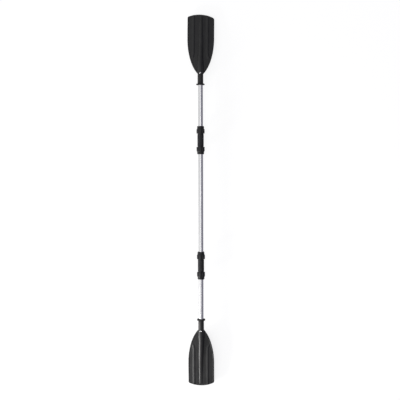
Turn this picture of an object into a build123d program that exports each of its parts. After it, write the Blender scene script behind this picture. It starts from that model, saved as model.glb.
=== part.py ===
from build123d import *
import os
from math import asin, cos, degrees, floor, radians, sin, sqrt

# Three-section kayak paddle, in millimetres. The shaft's axis is Y and its middle is the origin, with
# the blades' ridged backs up and their tips drooping. The right end is turned a little in its coupler.
# "Side" is +1 for the left end (+Y) and -1 for the right end (-Y): each end is the other one turned
# half a turn about Z, but for the tips, which both reach further along their -X edge, as a pair of
# blades does. "Facing" is +1 for the outer half of a coupler and -1 for its inner half.

# ---- Whole paddle ----
overall_length = 2200.0
coupler_station = 369.0      # from the paddle's middle to each coupler's middle
end_turn = {"left": 0.0, "right": 8.0}  # degrees that each end is turned about the shaft

# ---- Tubes ----
tube_diameter = 28.0
tube_wall = 1.2

# ---- Tube end plugs ----
plug_head = 1.5              # thickness of the head that covers the tube's end
plug_length = 16.0           # length of the shank inside the tube
plug_rib_count = 3
plug_rib_width = 2.0
plug_rib_rise = 1.8
plug_fit = 0.05              # radial clearance of the ribs in the tube

# ---- Coupler barrel ----
barrel_length = 147.0
barrel_fit = 0.1             # radial clearance round a tube
barrel_end_wall = 1.0        # wall at the wide end of the collet seat
neck_rise = 0.45             # how far the plain neck stands above the thread's core
neck_length = 4.0            # neck that shows between the grip and a lock nut
grip_rise = 1.25             # how far the grip stands above the neck
stop_thickness = 4.0         # ring in the middle that both tubes stop against
stop_rise = 3.1
stop_gap = 0.3               # between the stop and a plug's head
flute_count = 10
flute_radius = 4.2
flute_depth = 1.3
flute_land = 6.0             # from the grip's end to where a flute's straight part ends

# ---- Thread of barrel and lock nut ----
thread_pitch = 4.0
thread_height = 1.0
thread_base = 2.4            # width of the ridge at its root
thread_crest = 1.0
thread_fit = 0.3             # radial clearance between a ridge and the facing root
thread_sink = 0.1            # how far a ridge is sunk into the wall that carries it
thread_relief = 8.0          # plain core before the barrel's ridge, where the nut's ridge begins

# ---- Lock nut ----
nut_length = 43.0
nut_wall = 5.7
nut_grip_length = 24.0       # lobed part, before the shoulder and the collar
nut_shoulder = 3.5           # length of the shoulder between them
nut_collar_wall = 2.0
nut_collar_taper = 0.5       # how much wider the collar's radius is at the shoulder
nut_nose_round = 2.6         # rounding of the collar's end
nut_lip = 3.0                # thickness of the collar's end
nut_lip_fit = 0.3            # radial clearance between the lip and the tube
nut_edge = 1.2               # rounding of the open end
nut_skirt = 1.5              # plain skirt that laps the barrel's neck
nut_play = 0.9               # between the barrel's end and the retaining bead
scallop_count = 8
scallop_radius = 8.0
scallop_depth = 2.2
retaining_bead = 1.0         # height and width of the bead that keeps the collet in the nut

# ---- Split collet ----
collet_flange = 3.0
collet_flange_fit = 0.6      # radial clearance of the flange in the nut
collet_end_gap = 0.3         # between the flange and the nut, on each side
collet_tip_gap = 0.5         # between the thin end and the foot of the seat
seat_depth = 13.5            # length of the conical seat in the barrel's end
seat_step = 0.6              # how far the seat's small end stands back from the bore
seat_rise = 1.0              # how much wider the seat's radius is at its mouth
seat_fit = 0.25              # radial clearance between the collet and its seat
slit_width = 2.0
slit_count = 6
slit_land = 1.0              # solid collar between the short slits and the flange

# ---- Seals inside the barrel ----
seal_section = 1.6
seal_groove_width = 2.4
seal_fit = 0.1               # radial clearance behind the seal
seal_inset = 12.0            # from the foot of the collet seat

# ---- Blade socket ----
blade_length = 347.0         # from the socket's neck to the tip
socket_length = 54.0         # round neck between the drip ring and the blade
socket_wall = 2.55
socket_fit = 0.05            # radial bond gap round the tube
socket_depth = 84.0          # how far the tube reaches into the socket
socket_end_wall = 5.7        # solid plastic past the tube's end
socket_edge = 1.0
tube_end_gap = 0.3

# ---- Blade ----
blade_width = 156.0
root_inset = 2.0             # how far the blade's edges start inside the socket's sides
shoulder_length = 206.0      # from the neck to where the edges run parallel
shoulder_bend = (0.79, 0.425)  # a point on the shoulder: shares of the half width and of its length
outline_lean = 0.6           # degrees that the outline leans aside, towards +X at the left end
outline_shift = 0.8          # how far it starts off the shaft's axis, to the same side
plate_drop = 8.0             # how far the blade's middle lies below the shaft's axis at the neck
crown_radius = 187.0
crown_offset = 9.0           # how far the crown's middle lies to the longer edge's side
long_corner_radius = 10.0
short_corner_radius = 16.0
least_corner_radius = 1.0    # inside the rim, however wide it is
spoon_drop = 23.0            # how far the blade's middle bends down at the tip
cup_drop = 4.5               # how far the edges lie below the middle
web_thickness = 3.2
rim_width = 6.0
rim_rise = 0.9               # above and below the web
rib_width = 6.0
rib_rise = 2.0
rib_offset = 41.0
rib_start = 124.0            # from the neck to where a rib's straight part begins
rib_flare_radius = 70.0
rib_flare_angle = 27.0
cut_margin = 9.0             # how far a blade's layers run past its outline before they are cut

# ---- Spine on the blade's back and face ----
spine_overlap = 3.0          # how far the spine starts inside the socket
spine_step = 0.4             # how much thinner it is there than the socket
spine_settle = 2.0           # power by which the spine's middle sinks from the socket's to the blade's
spine_sections = (           # share of the way to the tip, half width and half height by socket radius
    (0.17, 0.90, 0.75),
    (0.43, 0.75, 0.48),
    (0.71, 0.63, 0.33),
    (1.02, 0.48, 0.22),
)

# ---- Blade rivets ----
rivet_station = 6.0          # from the neck towards the tip
rivet_head_diameter = 8.0
rivet_head_rise = 1.6
rivet_seat_depth = 0.6       # spot face cut into the socket
rivet_shank_diameter = 4.0
rivet_tail_diameter = 5.6
rivet_tail_length = 2.0
rivet_fit = 0.1

# ---- Drip ring ----
drip_ring_width = 9.0
drip_ring_hub = 2.6          # wall of the hub that grips the tube
drip_ring_reach = 7.8        # how far the cup stands out from the hub
drip_ring_web = 2.6
drip_ring_dish = 2.6         # how far the rim leans towards the paddle's middle
drip_ring_gap = 0.3

# ---- Radii that follow, from the tube outwards ----
tube_radius = tube_diameter / 2
tube_inner_radius = tube_radius - tube_wall
bore_radius = tube_radius + barrel_fit
seat_foot_radius = bore_radius + seat_step
seat_mouth_radius = seat_foot_radius + seat_rise
thread_core_radius = seat_mouth_radius + barrel_end_wall
neck_radius = thread_core_radius + neck_rise
grip_radius = neck_radius + grip_rise
nut_crest_radius = thread_core_radius + thread_fit
nut_root_radius = thread_core_radius + thread_height + thread_fit
nut_radius = nut_root_radius + nut_wall
seal_groove_radius = bore_radius + seal_section + seal_fit
socket_bore_radius = tube_radius + socket_fit
socket_radius = socket_bore_radius + socket_wall
blade_half_width = blade_width / 2

# ---- Stations along a coupler, from its middle ----
barrel_end = barrel_length / 2
seat_foot = barrel_end - seat_depth
seal_station = seat_foot - seal_inset
tube_stop = stop_thickness / 2 + stop_gap + plug_head
bead_start = barrel_end + nut_play
flange_start = bead_start + retaining_bead + collet_end_gap
flange_end = flange_start + collet_flange
lip_start = flange_end + collet_end_gap
nut_end = lip_start + nut_lip
nut_start = nut_end - nut_length
core_start = nut_start + nut_skirt
grip_end = nut_start - neck_length

# ---- The two ridges of the thread: the nut's runs half a pitch away from the barrel's ----
barrel_ridge_start = core_start + thread_relief + thread_base / 2
barrel_ridge_turns = floor((barrel_end - thread_base / 2 - barrel_ridge_start) / thread_pitch)
ridge_lead = floor((barrel_ridge_start - core_start - thread_base / 2) / thread_pitch - 0.5) + 0.5
nut_ridge_start = barrel_ridge_start - ridge_lead * thread_pitch
nut_ridge_turns = floor((bead_start - thread_base / 2 - nut_ridge_start) / thread_pitch)

# ---- Stations along the paddle, from its middle ----
neck_station = overall_length / 2 - blade_length
socket_mouth = neck_station - socket_length
tube_outer_end = socket_mouth + socket_depth
socket_end = tube_outer_end + tube_end_gap + socket_end_wall

# ---- Blade bend ----
spoon_radius = (blade_length**2 + spoon_drop**2) / (2 * spoon_drop)
cut_height = plate_drop + spoon_drop + cup_drop + 2 * socket_radius

shaft_axis = Axis((0, 0, 0), (0, 1, 0))


def profile_plane(direction, station):
    """Plane for half profiles: x is the radius, y the distance along the shaft in this direction."""
    return Plane(origin=(0, station, 0), x_dir=(direction, 0, 0), z_dir=(0, 0, 1))


def cross_plane(direction, station):
    """Plane across the shaft: its normal points along the shaft in this direction, and y points down."""
    return Plane(origin=(0, station, 0), x_dir=(direction, 0, 0), z_dir=(0, direction, 0))


def outline_plane(side):
    """Level plane for a blade's outline: y runs from the neck to the tip and leans with the outline."""
    lean = radians(outline_lean)
    origin = (side * outline_shift, side * neck_station, 0)
    return Plane(origin=origin, x_dir=(side * cos(lean), -side * sin(lean), 0), z_dir=(0, 0, 1))


def thread_ridge(direction, station, turns, root_radius, crest_radius):
    """One right-hand helical ridge, on a barrel if the crest is outside its root, or else in a nut."""
    path = Helix(
        pitch=thread_pitch,
        height=thread_pitch * turns,
        radius=root_radius,
        center=(0, station, 0),
        direction=(0, direction, 0),
    )
    start = path @ 0
    section_plane = Plane(origin=start, x_dir=(start.X, 0, start.Z), z_dir=path % 0)
    height = crest_radius - root_radius
    with BuildPart() as ridge:
        with BuildSketch(section_plane):
            with BuildLine():
                Polyline(
                    (0, -thread_base / 2),
                    (0, thread_base / 2),
                    (height, thread_crest / 2),
                    (height, -thread_crest / 2),
                    close=True,
                )
            make_face()
        sweep(path=path, is_frenet=True)
    return ridge.part


# ---- Tubes and their end plugs ----
def shaft_tube(start, end, rivet_side=0):
    """Drawn tube along the shaft. A tube that goes into a blade has two rivet holes near its end."""
    with BuildPart() as tube:
        with BuildSketch(cross_plane(1, start)):
            Circle(tube_radius)
            Circle(tube_inner_radius, mode=Mode.SUBTRACT)
        extrude(amount=end - start)
        if rivet_side:
            with Locations((0, rivet_side * (neck_station + rivet_station), 0)):
                Cylinder(rivet_shank_diameter / 2 + rivet_fit, 2 * tube_diameter, mode=Mode.SUBTRACT)
    return tube.part


def tube_plug(direction, tube_end):
    """Rubber bung in a tube's end: a head over the tube's edge and ribs that grip inside it."""
    rib_radius = tube_inner_radius - plug_fit
    rib_pitch = plug_length / plug_rib_count
    with BuildPart() as plug:
        with BuildSketch(cross_plane(direction, tube_end)):
            Circle(tube_radius)
        extrude(amount=-plug_head)
        with BuildSketch(cross_plane(direction, tube_end)):
            Circle(rib_radius - plug_rib_rise)
        extrude(amount=plug_length)
        for rib in range(plug_rib_count):
            rib_station = tube_end + direction * rib_pitch * (rib + 0.5)
            with BuildSketch(cross_plane(direction, rib_station)):
                Circle(rib_radius)
            extrude(amount=plug_rib_width)
    return plug.part


# ---- Coupler ----
def coupler_barrel(centre):
    """Ribbed grip with a thread and a conical collet seat at each end, and a stop ring inside."""
    half_profile = [
        (bore_radius - stop_rise, 0),
        (bore_radius - stop_rise, stop_thickness / 2),
        (bore_radius, stop_thickness / 2),
        (bore_radius, seat_foot),
        (seat_foot_radius, seat_foot),
        (seat_mouth_radius, barrel_end),
        (thread_core_radius, barrel_end),
        (thread_core_radius, core_start),
        (neck_radius, core_start),
        (neck_radius, grip_end),
        (grip_radius, grip_end),
        (grip_radius, 0),
    ]
    flute_centre = grip_radius + flute_radius - flute_depth
    flute_end = grip_end - flute_land
    with BuildPart() as barrel:
        for facing in (1, -1):
            with BuildSketch(profile_plane(facing, centre)):
                with BuildLine():
                    Polyline(*half_profile, close=True)
                make_face()
            revolve(axis=shaft_axis)
        for facing in (1, -1):
            with BuildSketch(profile_plane(facing, centre + facing * seal_station)):
                with Locations((seal_groove_radius, 0)):
                    Rectangle(2 * seal_section, seal_groove_width, align=(Align.MAX, Align.CENTER))
            revolve(axis=shaft_axis, mode=Mode.SUBTRACT)
        with Locations(cross_plane(1, centre)):
            with PolarLocations(flute_centre, flute_count, start_angle=-90):
                Cylinder(flute_radius, 2 * flute_end, mode=Mode.SUBTRACT)
        for facing in (1, -1):
            with Locations(cross_plane(1, centre + facing * flute_end)):
                with PolarLocations(flute_centre, flute_count, start_angle=-90):
                    Sphere(flute_radius, mode=Mode.SUBTRACT)
        for facing in (1, -1):
            ridge_station = centre + facing * barrel_ridge_start
            root_radius = thread_core_radius - thread_sink
            crest_radius = thread_core_radius + thread_height
            add(thread_ridge(facing, ridge_station, barrel_ridge_turns, root_radius, crest_radius))
    return barrel.part


def lock_nut(direction, centre):
    """Lobed nut with a collar. Its lip pushes the collet in, and its bead pulls it out."""
    bead_end = bead_start + retaining_bead
    bead_radius = nut_root_radius - retaining_bead
    shoulder_start = nut_start + nut_grip_length
    collar_start = shoulder_start + nut_shoulder
    collar_radius = nut_root_radius + nut_collar_wall
    lip_radius = tube_radius + nut_lip_fit
    ridge_station = centre + direction * nut_ridge_start
    root_radius = nut_root_radius + thread_sink
    scallop_centre = nut_radius + scallop_radius - scallop_depth
    with BuildPart() as nut:
        with BuildSketch(profile_plane(direction, centre)):
            with BuildLine():
                Polyline(
                    (nut_radius, nut_start),
                    (nut_radius, shoulder_start),
                    (collar_radius + nut_collar_taper, collar_start),
                    (collar_radius, nut_end - nut_nose_round),
                )
                RadiusArc(
                    (collar_radius, nut_end - nut_nose_round),
                    (collar_radius - nut_nose_round, nut_end),
                    -nut_nose_round,
                )
                Polyline(
                    (collar_radius - nut_nose_round, nut_end),
                    (lip_radius, nut_end),
                    (lip_radius, lip_start),
                    (nut_root_radius, lip_start),
                    (nut_root_radius, bead_end),
                    (bead_radius, bead_end),
                    (bead_radius, bead_start),
                    (nut_root_radius, bead_start),
                    (nut_root_radius, nut_start),
                    (nut_radius, nut_start),
                )
            make_face()
        revolve(axis=shaft_axis)
        fillet(nut.edges().filter_by(GeomType.CIRCLE).sort_by(SortBy.RADIUS)[-2:], nut_edge)
        with Locations(cross_plane(direction, centre + direction * (nut_start + nut_end) / 2)):
            with PolarLocations(scallop_centre, scallop_count, start_angle=180 / scallop_count):
                Cylinder(scallop_radius, 2 * nut_length, mode=Mode.SUBTRACT)
        add(thread_ridge(direction, ridge_station, nut_ridge_turns, root_radius, nut_crest_radius))
    return nut.part


def split_collet(direction, centre):
    """Conical sleeve that closes on the tube when the nut drives it into the barrel's seat."""
    tip = seat_foot + collet_tip_gap
    slope = seat_rise / seat_depth
    tip_radius = seat_foot_radius - seat_fit + slope * collet_tip_gap
    flange_foot_radius = tip_radius + slope * (flange_start - tip)
    flange_radius = nut_root_radius - collet_flange_fit
    slit_end = flange_start - slit_land
    slit_middle = (bore_radius + flange_radius) / 2
    slit_reach = flange_radius
    with BuildPart() as collet:
        with BuildSketch(profile_plane(direction, centre)):
            with BuildLine():
                Polyline(
                    (bore_radius, tip),
                    (tip_radius, tip),
                    (flange_foot_radius, flange_start),
                    (flange_radius, flange_start),
                    (flange_radius, flange_end),
                    (bore_radius, flange_end),
                    close=True,
                )
            make_face()
        revolve(axis=shaft_axis)
        with Locations(cross_plane(direction, centre + direction * tip)):
            with PolarLocations(slit_middle, slit_count):
                Box(slit_reach, slit_width, 2 * (slit_end - tip), mode=Mode.SUBTRACT)
            with Locations((slit_middle, 0)):
                Box(slit_reach, slit_width, 3 * (flange_end - tip), mode=Mode.SUBTRACT)
    return collet.part


def tube_seal(direction, centre):
    """O-ring in the barrel's groove, round the tube."""
    with BuildPart() as seal:
        with Locations(cross_plane(direction, centre + direction * seal_station)):
            Torus(bore_radius + seal_section / 2, seal_section / 2)
    return seal.part


# ---- Blade ----
def blade_prism(side, inset=0):
    """Upright prism of the blade's outline from its neck (y = 0) to its crowned tip, drawn in by an inset."""
    half_width = blade_half_width - inset
    tip = blade_length - inset
    tip_radius = crown_radius - inset
    long_drop = tip_radius - sqrt(tip_radius**2 - (half_width - crown_offset) ** 2)
    short_drop = tip_radius - sqrt(tip_radius**2 - (half_width + crown_offset) ** 2)
    root_half_width = socket_radius - root_inset - inset * sqrt(2)
    bend_x = shoulder_bend[0] * blade_half_width - inset
    bend_y = shoulder_bend[1] * shoulder_length
    with BuildPart() as prism:
        with BuildSketch(outline_plane(side)) as plan:
            with BuildLine():
                for edge, drop in ((side, short_drop), (-side, long_drop)):
                    shoulder = Spline(
                        (edge * root_half_width, 0),
                        (edge * bend_x, bend_y),
                        (edge * half_width, shoulder_length),
                        tangents=[(edge, 1), (0, 1)],
                    )
                    Line(shoulder @ 1, (edge * half_width, tip - drop))
                ThreePointArc(
                    (side * half_width, tip - short_drop),
                    (-side * crown_offset, tip),
                    (-side * half_width, tip - long_drop),
                )
                Line((root_half_width, 0), (-root_half_width, 0))
            make_face()
            long_corner, short_corner = plan.vertices().sort_by(Axis.Y)[-2:].sort_by(Axis.X)[::side]
            fillet(long_corner, max(long_corner_radius - inset, least_corner_radius))
            fillet(
                plan.vertices().sort_by_distance(short_corner)[0],
                max(short_corner_radius - inset, least_corner_radius),
            )
        extrude(amount=cut_height, both=True)
    return prism.part


def blade_layer(side, above, below):
    """Spooned and cupped layer, wider and longer than the blade, to be cut to an outline."""
    reach = blade_half_width + cut_margin
    edge = plate_drop + cup_drop * (reach / blade_half_width) ** 2
    top = plate_drop - above
    bottom = plate_drop + below
    spoon_axis = Axis((0, side * neck_station, -plate_drop - spoon_radius), (-side, 0, 0))
    spoon_angle = degrees(asin((blade_length + cut_margin) / spoon_radius))
    with BuildPart() as layer:
        with BuildSketch(cross_plane(side, side * neck_station)):
            with BuildLine():
                ThreePointArc((-reach, edge - above), (0, top), (reach, edge - above))
                Line((reach, edge - above), (reach, edge + below))
                ThreePointArc((reach, edge + below), (0, bottom), (-reach, edge + below))
                Line((-reach, edge + below), (-reach, edge - above))
            make_face()
        revolve(axis=spoon_axis, revolution_arc=spoon_angle)
    return layer.part


def blade_rim(side):
    """Bead round the edge, on both faces."""
    rise = web_thickness / 2 + rim_rise
    with BuildPart() as rim:
        add(blade_layer(side, rise, rise))
        add(blade_prism(side), mode=Mode.INTERSECT)
        add(blade_prism(side, rim_width), mode=Mode.SUBTRACT)
    return rim.part


def blade_ribs(side):
    """Two straight ribs on the back, whose neck ends flare out along the shoulders."""
    with BuildPart() as ribs:
        with BuildSketch(outline_plane(side)):
            for edge in (1, -1):
                with BuildLine():
                    Line((edge * rib_offset, blade_length + cut_margin), (edge * rib_offset, rib_start))
                    JernArc(
                        start=(edge * rib_offset, rib_start),
                        tangent=(0, -1),
                        radius=rib_flare_radius,
                        arc_size=edge * rib_flare_angle,
                    )
                trace(line_width=rib_width)
        extrude(amount=cut_height, both=True)
        add(blade_layer(side, web_thickness / 2 + rib_rise, 0), mode=Mode.INTERSECT)
    return ribs.part


def blade_spine(side):
    """Round backbone that carries on from the socket to the tip, lower and narrower as it goes."""
    socket_end_reach = socket_end - neck_station
    start_radius = socket_radius - spine_step
    sections = [(socket_end_reach - spine_overlap, plate_drop, start_radius, start_radius)]
    for share, width_share, height_share in spine_sections:
        reach = socket_end_reach + share * (blade_length - socket_end_reach)
        rise = plate_drop * max(1 - share, 0) ** spine_settle
        sections.append((reach, rise, width_share * socket_radius, height_share * socket_radius))
    with BuildPart() as spine:
        for reach, rise, half_width, half_height in sections:
            angle = asin(reach / spoon_radius)
            centre = Vector(
                0,
                side * (neck_station + (spoon_radius + rise) * sin(angle)),
                (spoon_radius + rise) * cos(angle) - spoon_radius - plate_drop,
            )
            section = Plane(origin=centre, x_dir=(side, 0, 0), z_dir=(0, side * cos(angle), -sin(angle)))
            with BuildSketch(section):
                Ellipse(half_width, half_height)
        loft()
    return spine.part


def paddle_blade(side):
    """Blade moulded in one piece with its round socket."""
    half_web = web_thickness / 2
    rivet_y = side * (neck_station + rivet_station)
    seat_radius = rivet_head_diameter / 2 + rivet_fit
    seat_height = socket_radius - rivet_seat_depth
    with BuildPart() as blade:
        add(blade_layer(side, half_web, half_web))
        add(blade_ribs(side))
        add(blade_spine(side))
        add(blade_prism(side, rim_width / 2), mode=Mode.INTERSECT)
        add(blade_rim(side))
        with BuildSketch(cross_plane(side, side * socket_mouth)):
            Circle(socket_radius)
        extrude(amount=socket_end - socket_mouth)
        with BuildSketch(cross_plane(side, side * socket_mouth)):
            Circle(socket_bore_radius)
        extrude(amount=socket_depth + tube_end_gap, mode=Mode.SUBTRACT)
        mouth_edges = blade.edges().filter_by(GeomType.CIRCLE).sort_by(Axis.Y)
        fillet(mouth_edges[:2] if side > 0 else mouth_edges[-2:], socket_edge)
        with Locations((0, rivet_y, 0)):
            Cylinder(rivet_shank_diameter / 2 + rivet_fit, 3 * socket_radius, mode=Mode.SUBTRACT)
        for face in (1, -1):
            with Locations((0, rivet_y, face * (seat_height + seat_radius))):
                Cylinder(seat_radius, 2 * seat_radius, mode=Mode.SUBTRACT)
    return blade.part


def blade_rivets(side):
    """Two domed rivets through the socket and the tube, above and below."""
    rivet_y = side * (neck_station + rivet_station)
    seat_height = socket_radius - rivet_seat_depth
    head_radius = rivet_head_diameter / 2
    shank_radius = rivet_shank_diameter / 2
    tail_radius = rivet_tail_diameter / 2
    tail_top = sqrt(tube_inner_radius**2 - tail_radius**2) - rivet_fit
    dome_radius = (head_radius**2 + rivet_head_rise**2) / (2 * rivet_head_rise)
    dome_centre = seat_height + rivet_head_rise - dome_radius
    dome_start = degrees(asin((seat_height - dome_centre) / dome_radius))
    with BuildPart() as rivets:
        for face in (1, -1):
            with BuildSketch(Plane(origin=(0, rivet_y, 0), x_dir=(1, 0, 0), z_dir=(0, -face, 0))):
                with BuildLine():
                    Polyline(
                        (0, seat_height + rivet_head_rise),
                        (0, tail_top - rivet_tail_length),
                        (tail_radius, tail_top - rivet_tail_length),
                        (tail_radius, tail_top),
                        (shank_radius, tail_top),
                        (shank_radius, seat_height),
                        (head_radius, seat_height),
                    )
                    CenterArc((0, dome_centre), dome_radius, dome_start, 90 - dome_start)
                make_face()
            revolve(axis=Axis((0, rivet_y, 0), (0, 0, 1)))
    return rivets.part


# ---- Drip ring ----
def drip_ring(side):
    """Soft cup on the tube, open towards the paddle's middle, so water runs off its rim."""
    hub_radius = bore_radius + drip_ring_hub
    rim_radius = hub_radius + drip_ring_reach
    with BuildPart() as ring:
        with BuildSketch(profile_plane(-side, side * (socket_mouth - drip_ring_gap))):
            with BuildLine():
                Polyline(
                    (bore_radius, 0),
                    (hub_radius, 0),
                    (rim_radius, drip_ring_dish),
                    (rim_radius, drip_ring_width),
                    (rim_radius - drip_ring_web / 2, drip_ring_width),
                    (hub_radius, drip_ring_web),
                    (hub_radius, drip_ring_width),
                    (bore_radius, drip_ring_width),
                    close=True,
                )
            make_face()
        revolve(axis=shaft_axis)
    return ring.part


# ---- Assembly ----
pieces = {"middle_tube": shaft_tube(tube_stop - coupler_station, coupler_station - tube_stop)}
for end_name, side in (("left", 1), ("right", -1)):
    centre = side * coupler_station
    tube_ends = sorted((side * (coupler_station + tube_stop), side * tube_outer_end))
    pieces[f"{end_name}_middle_tube_plug"] = tube_plug(-side, centre - side * tube_stop)
    pieces[f"{end_name}_outer_tube_plug"] = tube_plug(side, centre + side * tube_stop)
    pieces[f"{end_name}_outer_tube"] = shaft_tube(*tube_ends, rivet_side=side)
    pieces[f"{end_name}_coupler_barrel"] = coupler_barrel(centre)
    for half_name, facing in (("inner", -1), ("outer", 1)):
        pieces[f"{end_name}_{half_name}_lock_nut"] = lock_nut(side * facing, centre)
        pieces[f"{end_name}_{half_name}_collet"] = split_collet(side * facing, centre)
        pieces[f"{end_name}_{half_name}_seal"] = tube_seal(side * facing, centre)
    pieces[f"{end_name}_blade"] = paddle_blade(side)
    pieces[f"{end_name}_blade_rivets"] = blade_rivets(side)
    pieces[f"{end_name}_drip_ring"] = drip_ring(side)

for end_name, turn in end_turn.items():
    for name in [name for name in pieces if name.startswith(end_name)]:
        pieces[name] = Rot(0, -turn, 0) * pieces[name]

os.makedirs("parts", exist_ok=True)
for name, piece in pieces.items():
    piece.label = name
    export_step(piece, f"parts/{name}.step")
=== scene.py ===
# %% [markdown]
# # A kayak paddle that comes apart into three
# Three metal tubes, two black screw couplers and two moulded blades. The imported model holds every
# piece at its real size, so this file only gives the pieces their finished surfaces: fine meshes with
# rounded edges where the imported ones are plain, and a finish for each material. The frame is loaded
# first, because every place below is read from it.

# %% Load the frame
from math import asin, cos, pi, radians, sin, tan, tau

import bmesh
import bpy
import numpy as np
from mathutils import Matrix, Vector


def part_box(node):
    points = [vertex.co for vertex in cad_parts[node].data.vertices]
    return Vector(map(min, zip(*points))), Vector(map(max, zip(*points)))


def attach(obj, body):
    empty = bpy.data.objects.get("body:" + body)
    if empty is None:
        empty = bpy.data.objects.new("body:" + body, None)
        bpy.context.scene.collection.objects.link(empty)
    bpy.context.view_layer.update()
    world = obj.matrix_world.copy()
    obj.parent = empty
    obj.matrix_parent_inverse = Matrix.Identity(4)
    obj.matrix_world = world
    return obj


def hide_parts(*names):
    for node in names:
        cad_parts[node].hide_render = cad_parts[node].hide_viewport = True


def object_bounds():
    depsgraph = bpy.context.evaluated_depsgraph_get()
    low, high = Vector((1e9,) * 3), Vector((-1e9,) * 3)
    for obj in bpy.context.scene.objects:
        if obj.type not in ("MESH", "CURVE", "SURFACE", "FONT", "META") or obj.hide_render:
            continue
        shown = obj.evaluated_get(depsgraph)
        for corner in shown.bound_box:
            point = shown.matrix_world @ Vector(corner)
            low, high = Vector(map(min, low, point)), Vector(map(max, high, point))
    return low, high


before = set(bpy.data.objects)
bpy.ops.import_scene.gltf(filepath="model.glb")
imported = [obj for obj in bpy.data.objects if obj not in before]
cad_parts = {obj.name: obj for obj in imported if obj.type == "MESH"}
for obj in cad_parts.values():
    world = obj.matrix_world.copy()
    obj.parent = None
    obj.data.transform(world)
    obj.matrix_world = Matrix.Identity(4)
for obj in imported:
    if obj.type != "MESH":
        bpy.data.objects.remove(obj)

cad_low, cad_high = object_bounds()
print("packed box in metres", [round(v, 4) for v in (*cad_low, *cad_high)])

# %% [markdown]
# ## Measures
# Shapes below are worked out in millimetres, as a maker's drawing has them, and turned into metres
# when a mesh is made. The paddle lies along Y. "Side" is +1 for the left end and -1 for the right
# end, and each end is the other one turned half a turn about Z, so the left end's stations serve both.
# The right end stands turned a few degrees about the shaft as well, as a coupler lets it.

# %% Stations and radii read from the frame
MM = 0.001
ENDS = (("left", 1), ("right", -1))
END_TURNS = {1: 0.0, -1: radians(8)}  # by side, about the shaft, from the top towards -X


def extent(node):
    """A node's lowest and highest corners in millimetres, with heights taken from the shaft's axis."""
    low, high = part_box(node)
    return (low - Vector((0, 0, axis_z))) / MM, (high - Vector((0, 0, axis_z))) / MM


tube_low, tube_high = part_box("middle_tube")
axis_z = (tube_low.z + tube_high.z) / 2
tube_radius = extent("middle_tube")[1].x
socket_mouth = extent("left_blade")[0].y
socket_radius = extent("left_blade")[1].z
barrel_low, barrel_high = extent("left_coupler_barrel")
coupler_station = (barrel_low.y + barrel_high.y) / 2
barrel_end = barrel_high.y - coupler_station
grip_radius = barrel_high.x
nut_start = extent("left_outer_lock_nut")[0].y - coupler_station
nut_end = extent("left_outer_lock_nut")[1].y - coupler_station
nut_radius = extent("left_outer_lock_nut")[1].x
rivets_low, rivets_high = extent("left_blade_rivets")
rivet_station = 6.0          # from the blade's neck to its rivets
neck_station = (rivets_low.y + rivets_high.y) / 2 - rivet_station
print("tube radius", round(tube_radius, 2), "coupler at", round(coupler_station, 1))
print("neck at", round(neck_station, 1), "floor below the axis", round((axis_z - cad_low.z) / MM, 1))

# %% [markdown]
# ## Camera
# The paddle is seen from straight above, a little from its left end, so that end looks slightly
# larger. A long lens from four metres keeps the two ends nearly the same size. An orthographic
# camera would lose that small difference, so a perspective one is used.

# %% Camera
camera_distance = 4.172      # metres from the aim to the camera
camera_tilt = radians(3.37)  # how far it leans towards the left end
camera_roll = radians(0.179)
camera_lens = 63.87
camera_aim = Vector((-0.00454, 0.01873, axis_z))


def in_scene(name, data):
    """New object with this data, linked to the scene."""
    made = bpy.data.objects.new(name, data)
    bpy.context.scene.collection.objects.link(made)
    return made


backward = Vector((0, sin(camera_tilt), cos(camera_tilt)))
level_right = Vector((1, 0, 0))
level_up = backward.cross(level_right)
camera_right = level_right * cos(camera_roll) - level_up * sin(camera_roll)
camera_up = backward.cross(camera_right)
camera_data = bpy.data.cameras.new("view_from_above")
camera_data.lens = camera_lens
camera_data.clip_start = 0.05
camera_data.clip_end = 60.0
camera = in_scene("view_from_above", camera_data)
camera.matrix_world = Matrix.Translation(camera_aim + backward * camera_distance) @ Matrix(
    (camera_right, camera_up, backward)
).transposed().to_4x4()
bpy.context.scene.camera = camera
print("camera at", [round(v, 3) for v in camera.location])

# %% [markdown]
# ## Node helpers
# The room, the shared effects and every finish are made of shader nodes. Adding a node, linking its
# inputs and picking its result takes several lines each time, and most of it repeats, so short helpers
# do it. They make ordinary nodes, which can be opened and changed in the shader editor.

# %% Node helpers


def node_in(tree, kind, inputs=None, **settings):
    """Adds a shader node. Settings are its own properties; inputs are numbers, colours or links."""
    node = tree.nodes.new(kind)
    for name, value in settings.items():
        setattr(node, name, value)
    for name, value in (inputs or {}).items():
        if isinstance(value, bpy.types.NodeSocket):
            tree.links.new(value, node.inputs[name])
        else:
            node.inputs[name].default_value = value
    return node


def maths(tree, operation, first, second=0.0, clamp=False):
    """One Math node, and its result."""
    node = node_in(tree, "ShaderNodeMath", {0: first, 1: second}, operation=operation, use_clamp=clamp)
    return node.outputs[0]


def scaled(tree, value, share):
    """A value times a share."""
    return maths(tree, "MULTIPLY", value, share)


def added(tree, first, second):
    """The sum of two values, kept between 0 and 1."""
    return maths(tree, "ADD", first, second, clamp=True)


def spread(tree, value, low, high, from_low=0.3, from_high=0.7):
    """A mask or noise value spread over a new range."""
    inputs = {"Value": value, "From Min": from_low, "From Max": from_high, "To Min": low, "To Max": high}
    return node_in(tree, "ShaderNodeMapRange", inputs).outputs[0]


def mixed(tree, mask, first, second):
    """Two colours mixed by a mask."""
    inputs = {"Factor": mask, "A": first, "B": second}
    return node_in(tree, "ShaderNodeMix", inputs, data_type="RGBA").outputs["Result"]


# %% [markdown]
# ## Light
# Black plastic shows its form only through soft reflections, and a round metal tube is a mirror of
# the whole room. So the room is built for the tube: a bright left wall, one long panel overhead for
# the white streak along its middle, and a dim right wall for its grey flank. The key panel stands low
# on the left, beside the right-hand blade, where it rakes the spines, the ribs and the nuts' collars.

# %% Soft panels and room


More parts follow.
